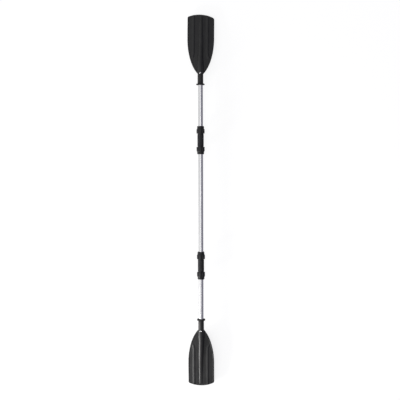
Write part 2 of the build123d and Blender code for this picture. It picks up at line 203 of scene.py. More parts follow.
def soft_panel(name, place, aim, width, length, power, colour):
    """Rectangular light that the camera itself doesn't see."""
    light = bpy.data.lights.new(name, "AREA")
    light.shape = "RECTANGLE"
    light.size = width
    light.size_y = length
    light.energy = power
    light.color = colour
    panel = in_scene(name, light)
    panel.location = place
    panel.rotation_euler = (Vector(aim) - Vector(place)).to_track_quat("-Z", "Y").to_euler()
    panel.visible_camera = False
    return panel


key_panel = soft_panel(
    "key_panel", place=(-2.6, -2.05, 0.62), aim=(0, -0.8, 0), width=0.9, length=0.9, power=110,
    colour=(1.0, 0.99, 0.97),
)
top_panel = soft_panel(
    "top_panel", place=(-0.1, -0.2, 5.0), aim=(-0.1, -0.2, 0), width=1.6, length=3.0, power=20,
    colour=(1.0, 1.0, 1.0),
)

left_wall = (0.74, 0.74, 0.74, 1)
right_wall = (0.225, 0.22, 0.262, 1)
walls_meet = {"From Min": -0.35, "From Max": 0.45}  # how far to the right a ray points, from -1 to 1
room = bpy.data.worlds.new("studio_room")
room.use_nodes = True
room_tree = room.node_tree
room_tree.nodes.clear()
direction = node_in(room_tree, "ShaderNodeTexCoord").outputs["Generated"]
across = node_in(room_tree, "ShaderNodeSeparateXYZ", {0: direction}).outputs["X"]
to_right = node_in(
    room_tree, "ShaderNodeMapRange", {"Value": across, **walls_meet}, interpolation_type="SMOOTHSTEP"
).outputs[0]
walls = mixed(room_tree, to_right, left_wall, right_wall)
from_camera = node_in(room_tree, "ShaderNodeLightPath").outputs["Is Camera Ray"]
seen = mixed(room_tree, from_camera, walls, (1.0, 1.0, 1.0, 1))
glow = node_in(room_tree, "ShaderNodeBackground", {"Color": seen})
node_in(room_tree, "ShaderNodeOutputWorld", {"Surface": glow.outputs[0]})
bpy.context.scene.world = room
bpy.context.scene.view_settings.view_transform = "Standard"
print("panels", key_panel.name, top_panel.name)

# %% [markdown]
# The floor is one large sheet just under the blades' tips. It is left out of reflections, because a
# tube would otherwise mirror it as a bright band along its lower flanks.

# %% Floor
floor_reach = 14.0           # metres from the middle to the floor's edge
floor_drop = 0.0003          # keeps the floor just clear of the blade tips
floor_height = cad_low.z - floor_drop
square = ((-1, -1), (1, -1), (1, 1), (-1, 1))
floor_points = [(x * floor_reach, y * floor_reach, floor_height) for x, y in square]
floor_mesh = bpy.data.meshes.new("studio_floor")
floor_mesh.from_pydata(floor_points, [], [(0, 1, 2, 3)])
floor = in_scene("studio_floor", floor_mesh)
floor.visible_glossy = False
print("floor", floor_reach * 2, "m wide at", round(floor_height, 4))

# %% [markdown]
# ## Shared surface effects
# The same few effects come back in every finish: the fine grain of a moulded or blasted surface,
# lines along the way a tube was drawn, pale wear on edges that get knocked, hairline scuffs, and dust
# that settles on faces that look up. Each is a shader node group, built once, with numbers for its
# inputs, so that one change mends it in every material. All are worked out from the object's own
# coordinates, so they stay put when a piece moves.

# %% Effect groups


def effect_group(title, inputs, outputs):
    """Empty node group with number sockets, and its two end nodes."""
    group = bpy.data.node_groups.new(title, "ShaderNodeTree")
    for name, value in inputs.items():
        socket = group.interface.new_socket(name, in_out="INPUT", socket_type="NodeSocketFloat")
        socket.default_value = value
    for name in outputs:
        group.interface.new_socket(name, in_out="OUTPUT", socket_type="NodeSocketFloat")
    return group, group.nodes.new("NodeGroupInput").outputs, group.nodes.new("NodeGroupOutput").inputs


def noise(tree, place, scale, detail=3.0, roughness=0.5):
    """Noise value at a place."""
    inputs = {"Vector": place, "Scale": scale, "Detail": detail, "Roughness": roughness}
    return node_in(tree, "ShaderNodeTexNoise", inputs).outputs[0]


def own_place(tree):
    """The object's own coordinates, in metres."""
    return node_in(tree, "ShaderNodeTexCoord").outputs["Object"]


def stretched(tree, place, x, y, z):
    """Coordinates scaled by a different number along each axis."""
    scale = node_in(tree, "ShaderNodeCombineXYZ", {0: x, 1: y, 2: z}).outputs[0]
    return node_in(tree, "ShaderNodeVectorMath", {0: place, 1: scale}, operation="MULTIPLY").outputs[0]


def grain_group():
    """Two sizes of grain: pits of the mould's texture, and slow changes between patches."""
    sizes = {"Scale": 900.0, "Patch Scale": 30.0}
    tree, inputs, outputs = effect_group("Fine grain", sizes, ("Grain", "Patches"))
    place = own_place(tree)
    tree.links.new(noise(tree, place, inputs["Scale"], 4.0, 0.6), outputs["Grain"])
    tree.links.new(noise(tree, place, inputs["Patch Scale"], 2.0), outputs["Patches"])
    return tree


def drawn_group():
    """Fine lines along Y, as a drawing die leaves on a tube."""
    tree, inputs, outputs = effect_group("Drawn lines", {"Scale": 900.0, "Shortness": 0.012}, ("Lines",))
    place = stretched(tree, own_place(tree), 1.0, inputs["Shortness"], 1.0)
    tree.links.new(noise(tree, place, inputs["Scale"], 3.0, 0.65), outputs["Lines"])
    return tree


def wear_group():
    """Mask of convex edges, broken up so that the wear comes and goes."""
    flat = 0.51  # pointiness where a surface counts as flat
    tree, inputs, outputs = effect_group("Edge wear", {"Reach": 0.06, "Break Up": 220.0}, ("Wear",))
    pointiness = node_in(tree, "ShaderNodeNewGeometry").outputs["Pointiness"]
    edges = spread(tree, pointiness, 0.0, 1.0, flat, maths(tree, "ADD", inputs["Reach"], flat))
    spots = noise(tree, own_place(tree), inputs["Break Up"], 3.0, 0.7)
    broken = spread(tree, spots, 0.0, 1.0, 0.42, 0.66)
    tree.links.new(maths(tree, "MULTIPLY", edges, broken, clamp=True), outputs["Wear"])
    return tree


def scuff_group():
    """Sparse hairlines in two directions, gathered in patches."""
    tree, inputs, outputs = effect_group("Hairline scuffs", {"Scale": 260.0, "Cover": 0.5}, ("Scuffs",))
    lines = []
    for x, y, z in ((1.0, 0.05, 0.6), (0.08, 1.0, 0.6)):
        value = noise(tree, stretched(tree, own_place(tree), x, y, z), inputs["Scale"], 2.0, 0.6)
        lines.append(spread(tree, value, 0.0, 1.0, 0.66, 0.74))
    patches = noise(tree, own_place(tree), 14.0, 2.0)
    least = maths(tree, "SUBTRACT", 1.0, inputs["Cover"])
    gathered = spread(tree, patches, 0.0, 1.0, least, maths(tree, "ADD", least, 0.15))
    both = maths(tree, "MAXIMUM", lines[0], lines[1])
    tree.links.new(maths(tree, "MULTIPLY", both, gathered, clamp=True), outputs["Scuffs"])
    return tree


def dust_group():
    """Light dust on what faces up, in specks."""
    tree, inputs, outputs = effect_group("Settled dust", {"Amount": 0.3}, ("Dust",))
    normal = node_in(tree, "ShaderNodeNewGeometry").outputs["Normal"]
    facing = node_in(tree, "ShaderNodeSeparateXYZ", {0: normal})
    upward = maths(tree, "MAXIMUM", facing.outputs["Z"], 0.0)
    specks = noise(tree, own_place(tree), 650.0, 5.0, 0.75)
    visible = spread(tree, specks, 0.0, 1.0, 0.5, 0.8)
    settled = maths(tree, "MULTIPLY", maths(tree, "POWER", upward, 3.0), visible)
    tree.links.new(maths(tree, "MULTIPLY", settled, inputs["Amount"], clamp=True), outputs["Dust"])
    return tree


GRAIN = grain_group()
DRAWN = drawn_group()
WEAR = wear_group()
SCUFFS = scuff_group()
DUST = dust_group()
print("effect groups", [group.name for group in bpy.data.node_groups])

# %% [markdown]
# ## Finishes
# One small helper starts every material and another closes it. Numbers that are the same all over a
# surface are set on the shader itself, and only what changes over it is linked.

# %% Helpers for finishes


def new_finish(name, **constants):
    """Material with a Principled shader, whose constants are set on its own sockets."""
    material = bpy.data.materials.new(name)
    material.use_nodes = True
    shader = material.node_tree.nodes["Principled BSDF"]
    for socket, value in constants.items():
        shader.inputs[socket.replace("_", " ")].default_value = value
    return material, material.node_tree


def effect(tree, group, **inputs):
    """A shared effect placed in a material, and its outputs."""
    named = {name.replace("_", " "): value for name, value in inputs.items()}
    return node_in(tree, "ShaderNodeGroup", named, node_tree=group).outputs


def patchy(tree, grain, first, second):
    """Two near colours that change slowly over the surface."""
    return mixed(tree, spread(tree, grain["Patches"], 0.0, 1.0), first, second)


def finished(material, colour, roughness, height, bump_distance):
    """Links what changes over the surface: its colour, its roughness and its small relief."""
    tree = material.node_tree
    shader = tree.nodes["Principled BSDF"]
    tree.links.new(colour, shader.inputs["Base Color"])
    tree.links.new(roughness, shader.inputs["Roughness"])
    bump = node_in(tree, "ShaderNodeBump", {"Strength": 1.0, "Distance": bump_distance, "Height": height})
    tree.links.new(bump.outputs[0], shader.inputs["Normal"])
    return material


# %% [markdown]
# ### Drawn tube
# The tubes are drawn aluminium with a clear satin anodising: a soft mirror with fine lines along it.
# A perfect mirror would look like chrome, so roughness is about a quarter and the lines vary it.
# Faint hairline scuffs, in two directions, are scattered over it in patches.

# %% Drawn tube


def drawn_tube_finish():
    material, tree = new_finish("drawn_tube", Metallic=1.0)
    lines = effect(tree, DRAWN, Scale=1100.0, Shortness=0.01)["Lines"]
    grain = effect(tree, GRAIN, Scale=2600.0, Patch_Scale=9.0)
    scuffs = effect(tree, SCUFFS, Scale=300.0, Cover=0.46)["Scuffs"]
    tone = mixed(tree, spread(tree, lines, 0.0, 1.0), (0.83, 0.83, 0.845, 1), (0.88, 0.88, 0.89, 1))
    tone = mixed(tree, spread(tree, grain["Patches"], 0.0, 0.25), tone, (0.74, 0.75, 0.77, 1))
    tone = mixed(tree, scaled(tree, scuffs, 0.35), tone, (0.62, 0.62, 0.64, 1))
    satin = added(tree, spread(tree, lines, 0.22, 0.28), spread(tree, grain["Patches"], -0.02, 0.05))
    satin = added(tree, satin, scaled(tree, scuffs, 0.18))
    relief = maths(tree, "SUBTRACT", scaled(tree, lines, 0.6), scaled(tree, scuffs, 0.5))
    return finished(material, tone, satin, relief, 0.000003)


# %% [markdown]
# ### Moulded black plastics
# Barrels, lock nuts and blades are three black plastics that differ in grain, sheen and wear. They
# could share one material, but then a blade and a nut would look cut from one block. One maker
# function with named numbers keeps them alike in kind and different in finish.

# %% Moulded plastics


def moulded_finish(name, dark, pale, worn, sheen, grain_scale, relief, scuff_cover, dust, specular):
    """Grained black plastic with pale edges, hairlines and a little dust."""
    material, tree = new_finish(name, Specular_IOR_Level=specular)
    grain = effect(tree, GRAIN, Scale=grain_scale, Patch_Scale=26.0)
    wear = effect(tree, WEAR, Reach=0.05)["Wear"]
    scuffs = effect(tree, SCUFFS, Cover=scuff_cover)["Scuffs"]
    settled = effect(tree, DUST, Amount=dust)["Dust"]
    tone = patchy(tree, grain, dark, pale)
    tone = mixed(tree, spread(tree, grain["Grain"], 0.0, 0.25), tone, worn)
    marks = added(tree, scaled(tree, wear, 0.55), scaled(tree, scuffs, 0.3))
    tone = mixed(tree, marks, tone, worn)
    tone = mixed(tree, settled, tone, (0.30, 0.29, 0.27, 1))
    gloss = added(tree, spread(tree, grain["Patches"], *sheen), spread(tree, grain["Grain"], -0.04, 0.06))
    gloss = added(tree, gloss, scaled(tree, marks, 0.15))
    height = maths(tree, "SUBTRACT", grain["Grain"], scaled(tree, scuffs, 0.4))
    return finished(material, tone, gloss, height, relief)


# %% [markdown]
# ### Rubber, rivets and collets
# The drip rings, seals and plugs are soft rubber: dull, with a bloom that greys it in patches. The
# rivets are bright steel, a little scuffed. The collets are plain off-white acetal, slightly waxy, with
# faint lines from the mould.

# %% Small materials


def rubber_finish():
    material, tree = new_finish("soft_rubber", Specular_IOR_Level=0.3)
    grain = effect(tree, GRAIN, Scale=1600.0, Patch_Scale=60.0)
    settled = effect(tree, DUST, Amount=0.25)["Dust"]
    tone = patchy(tree, grain, (0.012, 0.012, 0.013, 1), (0.026, 0.026, 0.028, 1))
    tone = mixed(tree, settled, tone, (0.20, 0.20, 0.19, 1))
    return finished(material, tone, spread(tree, grain["Patches"], 0.58, 0.74), grain["Grain"], 0.00003)


def rivet_finish():
    material, tree = new_finish("bright_rivet", Metallic=1.0)
    grain = effect(tree, GRAIN, Scale=3000.0, Patch_Scale=200.0)
    scuffs = effect(tree, SCUFFS, Scale=900.0, Cover=0.6)["Scuffs"]
    tone = patchy(tree, grain, (0.78, 0.78, 0.79, 1), (0.92, 0.92, 0.92, 1))
    polish = added(tree, spread(tree, grain["Patches"], 0.28, 0.38), scaled(tree, scuffs, 0.2))
    return finished(material, tone, polish, grain["Grain"], 0.00001)


def collet_finish():
    material, tree = new_finish("collet_acetal", Subsurface_Weight=0.08, Subsurface_Scale=0.001)
    grain = effect(tree, GRAIN, Scale=1300.0, Patch_Scale=90.0)
    lines = effect(tree, DRAWN, Scale=500.0, Shortness=0.2)["Lines"]
    tone = patchy(tree, grain, (0.62, 0.61, 0.56, 1), (0.72, 0.71, 0.67, 1))
    tone = mixed(tree, spread(tree, lines, 0.0, 0.3), tone, (0.50, 0.49, 0.45, 1))
    return finished(material, tone, spread(tree, grain["Patches"], 0.32, 0.44), grain["Grain"], 0.00002)


TUBE_FINISH = drawn_tube_finish()
RUBBER_FINISH = rubber_finish()
RIVET_FINISH = rivet_finish()
COLLET_FINISH = collet_finish()
BARREL_FINISH = moulded_finish(
    "barrel_plastic", dark=(0.0045, 0.0045, 0.006, 1), pale=(0.009, 0.009, 0.011, 1),
    worn=(0.055, 0.055, 0.062, 1), sheen=(0.36, 0.48), grain_scale=1500.0, relief=0.00003,
    scuff_cover=0.5, dust=0.06, specular=0.27,
)
NUT_FINISH = moulded_finish(
    "nut_plastic", dark=(0.004, 0.004, 0.005, 1), pale=(0.008, 0.008, 0.0095, 1),
    worn=(0.060, 0.060, 0.064, 1), sheen=(0.30, 0.42), grain_scale=2100.0, relief=0.00002,
    scuff_cover=0.55, dust=0.05, specular=0.28,
)
BLADE_FINISH = moulded_finish(
    "blade_plastic", dark=(0.006, 0.006, 0.0065, 1), pale=(0.012, 0.012, 0.0125, 1),
    worn=(0.060, 0.060, 0.062, 1), sheen=(0.37, 0.47), grain_scale=1100.0, relief=0.00004,
    scuff_cover=0.48, dust=0.07, specular=0.36,
)

# %% [markdown]
# ### Floor paper
# The floor is pale paper that glows a little, so that it stays near white where the key panel doesn't
# reach, and takes only a faint shadow.

# %% Floor paper
floor_finish, floor_tree = new_finish(
    "floor_paper", Specular_IOR_Level=0.0, Emission_Color=(1.0, 1.0, 1.0, 1), Emission_Strength=0.78
)
paper = effect(floor_tree, GRAIN, Scale=60.0, Patch_Scale=0.6)
paper_tone = mixed(floor_tree, paper["Patches"], (0.34, 0.34, 0.34, 1), (0.36, 0.36, 0.36, 1))
finished(floor_finish, paper_tone, spread(floor_tree, paper["Grain"], 0.85, 0.95), paper["Grain"], 0.0001)
floor_mesh.materials.append(floor_finish)
print("finishes", [material.name for material in bpy.data.materials if material.users])

# %% [markdown]
# ## From points to pieces
# Every new piece is made the same way: points in millimetres, faces over them, outward normals, smooth
# shading with real corners kept sharp, a finish, and the body that it rides on. The piece then stands
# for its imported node, which goes on carrying the collision.

# %% Piece maker
sharp_corner = radians(40)   # edges that turn by more than this stay sharp


def new_piece(name, points, faces, finish, side):
    """Mesh object from points in millimetres about the shaft's axis, turned as its end is."""
    mesh = bpy.data.meshes.new(name)
    x, y, z = np.asarray(points, float).T * MM
    turn = END_TURNS[side]
    placed = np.stack((x * cos(turn) - z * sin(turn), y, x * sin(turn) + z * cos(turn) + axis_z), axis=-1)
    mesh.from_pydata(placed.tolist(), [], [tuple(face) for face in faces])
    shaped = bmesh.new()
    shaped.from_mesh(mesh)
    bmesh.ops.recalc_face_normals(shaped, faces=shaped.faces)
    shaped.to_mesh(mesh)
    shaped.free()
    mesh.materials.append(finish)
    return in_scene(name, mesh)


def stand_in(piece, node, body):
    """Smooths the piece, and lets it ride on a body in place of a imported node."""
    piece.data.shade_smooth()
    piece.data.set_sharp_from_angle(angle=sharp_corner)
    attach(piece, body)
    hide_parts(node)
    print(piece.name, "faces", len(piece.data.polygons), "on", body)


def quads(numbers):
    """Faces over a table of point numbers."""
    corners = (numbers[:-1, :-1], numbers[:-1, 1:], numbers[1:, 1:], numbers[1:, :-1])
    return np.stack(corners, axis=-1).reshape(-1, 4).tolist()


def ring_faces(rows, columns, wrap_rows):
    """Quads over rows of points. Each row closes on itself, and the last row may join the first."""
    numbers = np.arange(rows * columns).reshape(rows, columns)
    return quads(np.pad(numbers, ((0, int(wrap_rows)), (0, 1)), mode="wrap"))


def smooth_step(low, high, value):
    """0 below low, 1 above high, and an easy curve between them."""
    share = np.clip((value - low) / (high - low), 0, 1)
    return share * share * (3 - 2 * share)


def soft_max(first, second, blend):
    """The larger of two heights, with a fillet where they meet."""
    near = np.maximum(blend - np.abs(first - second), 0)
    return np.maximum(first, second) + near**2 / (4 * blend)


# %% [markdown]
# ## Turned pieces
# Tubes, barrels, nuts and drip rings are all bodies of revolution, some with lobes, flutes or a
# thread. A Screw modifier could spin a profile, but the lobes would then need cutters, and boolean
# cuts leave hard edges. Instead, a closed profile is spun point by point, and a shape function may
# move each ring's points in or out. That gives soft lobes, flutes with rounded ends and a true helical
# thread from one short function. Each profile corner is (along, radius, rounding, step, zone): the
# rounding eases the corner, and the step and zone belong to the run that follows it.

# %% Profiles and turning
most_ease = 0.45             # of the shorter run beside a corner


def rounded_profile(corners):
    """Closed profile with eased corners. Gives along, radius and zone for each point."""
    spots = []
    points = np.array([corner[:2] for corner in corners], float)
    runs = np.roll(points, -1, axis=0) - points
    lengths = np.linalg.norm(runs, axis=1)
    shorter = np.minimum(lengths, np.roll(lengths, 1))
    eases = np.minimum([corner[2] for corner in corners], most_ease * shorter)
    for index, (_, _, _, step, zone) in enumerate(corners):
        here, ease = points[index], eases[index]
        back = -runs[index - 1] / lengths[index - 1]
        ahead = runs[index] / lengths[index]
        for share in (0.0, 0.25, 0.5, 0.75, 1.0) if ease > 0 else (0.0,):
            spots.append((*(here + back * ease * (1 - share) ** 2 + ahead * ease * share**2), zone))
        left = lengths[index] - ease - eases[(index + 1) % len(corners)]
        pieces = max(1, round(left / step))
        for part in range(1, pieces):
            spots.append((*(here + ahead * (ease + left * part / pieces)), zone))
    along, radius, zones = zip(*spots)
    return np.array(along), np.array(radius), np.array(zones)


def turned_piece(name, corners, around, centre, facing, finish, side, shapes=None):
    """Spins a profile round the shaft. Along is measured from the centre in the facing direction."""
    along, radius, zones = rounded_profile(corners)
    angle = tau * np.arange(around) / around
    rings = np.repeat(radius[:, None], around, axis=1)
    for zone, shape in (shapes or {}).items():
        rows = zones == zone
        rings[rows] = shape(along[rows][:, None], rings[rows], angle[None, :])
    station = np.repeat(centre + facing * along[:, None], around, axis=1)
    points = np.stack((rings * np.sin(angle), station, rings * np.cos(angle)), axis=-1)
    return new_piece(name, points.reshape(-1, 3), ring_faces(len(along), around, True), finish, side)


def turned_stand_in(name, node, slot, *turning):
    """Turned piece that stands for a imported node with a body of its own."""
    stand_in(turned_piece(name, *turning), node, node)


# %% [markdown]
# ## Tubes
# A tube is the simplest turned piece: two skins 1.2 mm apart and eased ends. The ends are hidden in
# couplers and sockets until the paddle comes apart.

# %% Tubes
tube_wall = 1.2
tube_edge = 0.3
tube_step = 12.0             # longest face along the tube
tube_around = 96
tube_inner_radius = tube_radius - tube_wall


def drawn_tube(name, node, body, side):
    """Tube between the ends that the frame gives, made for the left end and turned for the right."""
    low, high = extent(node)
    start, end = sorted((side * low.y, side * high.y))
    section = ((start, tube_inner_radius), (start, tube_radius), (end, tube_radius), (end, tube_inner_radius))
    corners = [(along, radius, tube_edge, tube_step, "") for along, radius in section]
    stand_in(turned_piece(name, corners, tube_around, 0.0, side, TUBE_FINISH, side), node, body)


drawn_tube("middle_tube_drawn", "middle_tube", "middle_section", 1)
for end_name, side in ENDS:
    drawn_tube(f"{end_name}_outer_tube_drawn", f"{end_name}_outer_tube", f"{end_name}_blade_section", side)

# %% [markdown]
# ## Coupler threads
# The barrel carries a ridge of four millimetre pitch at each end, and each nut has one half a pitch
# away that runs between the barrel's turns. A height that depends on the distance along and the
# angle round gives the ridge without any sweep, and the same formula serves both pieces, so they
# clear each other wherever the nut is screwed to. The ridges are seen when a nut is let out.

# %% Thread and coupler sizes
thread_pitch = 4.0
thread_height = 1.0
thread_base = 2.4
thread_crest = 1.0
thread_fit = 0.3
barrel_fit = 0.1
seat_step = 0.6              # how far the seat's small end stands back from the bore
seat_rise = 1.0              # how much wider the seat is at its mouth
barrel_end_wall = 1.0
bore_radius = tube_radius + barrel_fit
seat_foot_radius = bore_radius + seat_step
seat_mouth_radius = seat_foot_radius + seat_rise
thread_core_radius = seat_mouth_radius + barrel_end_wall
nut_root_radius = thread_core_radius + thread_height + thread_fit
neck_length = 4.0
nut_skirt = 1.5
thread_relief = 8.0
core_start = nut_start + nut_skirt
barrel_ridge_start = core_start + thread_relief + thread_base / 2
barrel_ridge_turns = int((barrel_end - thread_base / 2 - barrel_ridge_start) / thread_pitch)
ridge_lead = int((barrel_ridge_start - core_start - thread_base / 2) / thread_pitch - 0.5) + 0.5
nut_ridge_start = barrel_ridge_start - ridge_lead * thread_pitch


def ridge_height(along, turn, start, turns):
    """Height of a right-hand ridge. Turn is the angle round the shaft from where the ridge starts."""
    lap = np.clip(np.round((along - start) / thread_pitch - turn / tau), 0, turns - 1)
    off = np.abs(along - start - thread_pitch * (lap + turn / tau))
    flank = (thread_base - thread_crest) / 2
    return thread_height * np.clip((thread_base / 2 - off) / flank, 0, 1)


def turn_from_start(angle, facing):
    """Angle round the shaft in the sense of a right-hand thread that runs in the facing direction."""
    return (angle if facing > 0 else pi - angle) % tau


print("barrel ridge from", barrel_ridge_start, "turns", barrel_ridge_turns, "nut ridge from", nut_ridge_start)

# %% [markdown]
# ## Coupler barrels
# The grip between the nuts has ten flutes for wet fingers. A flute is the groove of a ball-ended
# cutter: round across, with a quarter sphere at each end, and its edges are eased as a mould's are.
# Inside are a stop ring for both tubes, two seal grooves and two conical seats.

# %% Coupler barrels
flute_count = 10
flute_radius = 4.2
flute_depth = 1.3
flute_land = 6.0
flute_ease = 0.5
barrel_around = 140
neck_rise = 0.45
cone_depth = 13.5            # from the barrel's end to the foot of the collet's conical seat
seal_inset = 12.0
groove_half = 1.2            # half the seal groove's width
groove_radius = bore_radius + 1.7
stop_half = 2.0
stop_rise = 3.1
grip_end = nut_start - neck_length
neck_radius = thread_core_radius + neck_rise
seat_foot = barrel_end - cone_depth
seal_station = seat_foot - seal_inset


def barrel_corners():
    """Outer skin from one end to the other, then the bore all the way back."""
    outer = (
        (grip_end, grip_radius, 0.9, 0.6, ""),
        (grip_end, neck_radius, 0.4, 1.0, ""),
        (core_start, neck_radius, 0.3, 0.4, ""),
        (core_start, thread_core_radius, 0.1, 0.45, "thread"),
        (barrel_end, thread_core_radius, 0.4, 0.5, ""),
    )
    inner = (
        (barrel_end, seat_mouth_radius, 0.2, 3.0, ""),
        (seat_foot, seat_foot_radius, 0.0, 1.0, ""),
        (seat_foot, bore_radius, 0.1, 3.0, ""),
        (seal_station + groove_half, bore_radius, 0.0, 1.0, ""),
        (seal_station + groove_half, groove_radius, 0.0, 1.0, ""),
        (seal_station - groove_half, groove_radius, 0.0, 1.0, ""),
        (seal_station - groove_half, bore_radius, 0.0, 6.0, ""),
        (stop_half, bore_radius, 0.3, 1.0, ""),
        (stop_half, bore_radius - stop_rise, 0.4, 1.0, ""),
    )
    half = outer + inner
    mirrored = []
    for index in range(len(half) - 1, -1, -1):
        along, radius, ease = half[index][:3]
        step, zone = half[index - 1][3:] if index else (1.2, "grip")
        mirrored.append((-along, radius, ease, step, zone))
    return (*mirrored[-len(outer):], *half, *mirrored[:-len(outer)])


def coupler_barrel(end_name, side):
    """Barrel of one coupler, as a single turned piece."""

    def flutes(along, radius, angle):
        spacing = tau / flute_count
        off = (angle + spacing / 2) % spacing - spacing / 2
        past = np.maximum(np.abs(along) - (grip_end - flute_land), 0)
        groove = np.sqrt(np.maximum(flute_radius**2 - (radius * off) ** 2 - past**2, 0))
        return radius - soft_max(groove - (flute_radius - flute_depth), 0 * groove, flute_ease)

    def thread(along, radius, angle):
        outward = ridge_height(along, turn_from_start(angle, 1), barrel_ridge_start, barrel_ridge_turns)
        inward = ridge_height(-along, turn_from_start(angle, -1), barrel_ridge_start, barrel_ridge_turns)
        return radius + np.where(along > 0, outward, inward)

    shapes = {"grip": flutes, "thread": thread}
    turned_stand_in(
        f"{end_name}_fluted_barrel", f"{end_name}_coupler_barrel", "coupler", barrel_corners(),
        barrel_around, side * coupler_station, 1, BARREL_FINISH, side, shapes,
    )


for end_name, side in ENDS:
    coupler_barrel(end_name, side)

# %% [markdown]
# ## Lock nuts
# Each nut has eight lobes for the palm, a shoulder, and a collar with a rounded nose that the tube
# comes out of. Between two lobes is the round trough of a cutter that stood outside the nut. Taking
# the softer of the nut's own radius and the trough gives lobes with no hard edge.

# %% Lock nuts
lobe_count = 8
trough_radius = 8.0
trough_depth = 2.2
lobe_ease = 1.4
nut_around = 144
nut_grip_length = 24.0
nut_shoulder = 3.5
collar_wall = 2.0
collar_taper = 0.5
nose_round = 2.6
lip_fit = 0.3
lip_length = 3.0
nut_play = 0.9               # between the barrel's end and the bead that keeps the collet in the nut
bead_size = 1.0
collar_radius = nut_root_radius + collar_wall
lip_radius = tube_radius + lip_fit
bead_start = barrel_end + nut_play
nut_ridge_turns = int((bead_start - thread_base / 2 - nut_ridge_start) / thread_pitch)


def nut_corners():
    """Skin from the open end over the lobes to the nose, then back along the cavity."""
    shoulder_start = nut_start + nut_grip_length
    collar_start = shoulder_start + nut_shoulder
    return (
        (nut_start, nut_radius, 1.8, 1.1, "lobes"),
        (shoulder_start, nut_radius, 2.0, 0.7, "lobes"),
        (collar_start, collar_radius + collar_taper, 1.6, 1.1, ""),
        (nut_end, collar_radius, nose_round, 0.8, ""),
        (nut_end, lip_radius, 0.5, 1.5, ""),
        (nut_end - lip_length, lip_radius, 0.2, 1.5, ""),
        (nut_end - lip_length, nut_root_radius, 0.0, 2.0, ""),
        (bead_start + bead_size, nut_root_radius, 0.0, 1.0, ""),
        (bead_start + bead_size, nut_root_radius - bead_size, 0.2, 1.0, ""),
        (bead_start, nut_root_radius - bead_size, 0.2, 1.0, ""),
        (bead_start, nut_root_radius, 0.0, 0.45, "thread"),
        (nut_start, nut_root_radius, 0.4, 1.5, ""),
    )


def lock_nut(end_name, half_name, side, facing):
    """One lock nut. Facing is the direction along the paddle that its nose points in."""
    trough_centre = nut_radius + trough_radius - trough_depth

    def lobes(along, radius, angle):
        off = angle % (tau / lobe_count) - pi / lobe_count
        chord = np.maximum(trough_radius**2 - (trough_centre * np.sin(off)) ** 2, 0)
        trough = trough_centre * np.cos(off) - np.sqrt(chord)
        return -soft_max(-radius, -trough + 0 * radius, lobe_ease)

    def thread(along, radius, angle):
        return radius - ridge_height(along, turn_from_start(angle, facing), nut_ridge_start, nut_ridge_turns)

    shapes = {"lobes": lobes, "thread": thread}
    turned_stand_in(
        f"{end_name}_{half_name}_lobed_nut", f"{end_name}_{half_name}_lock_nut", "lock_nut", nut_corners(),
        nut_around, side * coupler_station, facing, NUT_FINISH, side, shapes,
    )


for end_name, side in ENDS:
    for half_name, outward in (("inner", -1), ("outer", 1)):
        lock_nut(end_name, half_name, side, side * outward)

# %% [markdown]
# ## Drip rings
# A drip ring is a soft cup pushed onto the tube against the blade's socket. Its rim leans towards the
# paddle's middle, so water that runs down the shaft drops off it. The same turning does it, with the
# thin web and rim eased as rubber is.

# %% Drip rings
ring_hub_wall = 2.6
ring_web = 2.6
ring_dish = 2.6
ring_around = 96
ring_low, ring_high = extent("left_drip_ring")
ring_radius = ring_high.x
ring_width = ring_high.y - ring_low.y
ring_hub_radius = bore_radius + ring_hub_wall
ring_corners = (
    (0.0, bore_radius, 0.4, 1.0, ""),
    (0.0, ring_hub_radius, 0.8, 1.2, ""),
    (ring_dish, ring_radius, 0.9, 0.7, ""),
    (ring_width, ring_radius, 0.6, 0.5, ""),
    (ring_width, ring_radius - ring_web / 2, 0.6, 0.9, ""),
    (ring_web, ring_hub_radius, 0.7, 1.0, ""),
    (ring_width, ring_hub_radius, 0.5, 0.7, ""),
    (ring_width, bore_radius, 0.4, 1.2, ""),
)
for end_name, side in ENDS:
    turned_stand_in(
        f"{end_name}_rubber_ring", f"{end_name}_drip_ring", "drip_ring", ring_corners,
        ring_around, side * ring_high.y, -side, RUBBER_FINISH, side,
    )

# %% [markdown]
# ## Blades
# A blade is one moulding: a round socket that swells into a thin, spooned and cupped plate with a
# bead round its edge, a spine that dies away towards the tip, and two ribs on the back. Sculpting it
# freely would lose the drawing, and joining separate solids would leave hard creases. So both skins
# are height fields over one grid whose lines follow the outline, the ribs and the spine: the height
# is the larger of plate and spine with a fillet between them, and a rounded strip closes the edge.

# %% Blade sizes
blade_length = 347.0
blade_half_width = 78.0
root_half_width = socket_radius - 2.0  # the edges start a little inside the socket's sides
shoulder_length = 206.0
shoulder_pull = 41.6         # how far the shoulder's curve holds its first direction
side_pull = 81.9
outline_lean = radians(0.6)  # towards the shorter edge
outline_shift = 0.8
plate_drop = 8.0             # from the shaft's axis down to the plate's middle
crown_radius = 187.0
crown_offset = 9.0           # how far the crown's middle lies to the longer edge's side
long_corner_radius = 10.0
short_corner_radius = 16.0
spoon_drop = 23.0
cup_drop = 4.5
half_web = 1.6
rim_width = 6.0
rim_rise = 0.9
edge_round = 1.9             # how far the rounded edge stands out from the grid's own edge
rim_reach = 5.3              # from the grid's edge to the foot of the bead
rib_crest = 0.8              # from a rib's middle to where its flanks start
gentle_flank = 14.0          # and to where the flank towards the longer edge has run out
steep_flank = 5.4            # and the other flank
rib_rise = 2.4
rib_offset = 41.0
rib_start = 124.0
rib_flare = 70.0
rib_foot = 92.0              # from the neck to where a rib dies away
spine_blend = 3.0
spine_margin = 3.0           # from the spine's side to the grid line at its foot
spine_aside = 1.5            # how far the spine's middle passes the outline's middle line
socket_depth = 84.3
socket_fit = 0.05
socket_bore = tube_radius + socket_fit
socket_edge = 1.0
spoon_radius = (blade_length**2 + spoon_drop**2) / (2 * spoon_drop)
socket_length = neck_station - socket_mouth
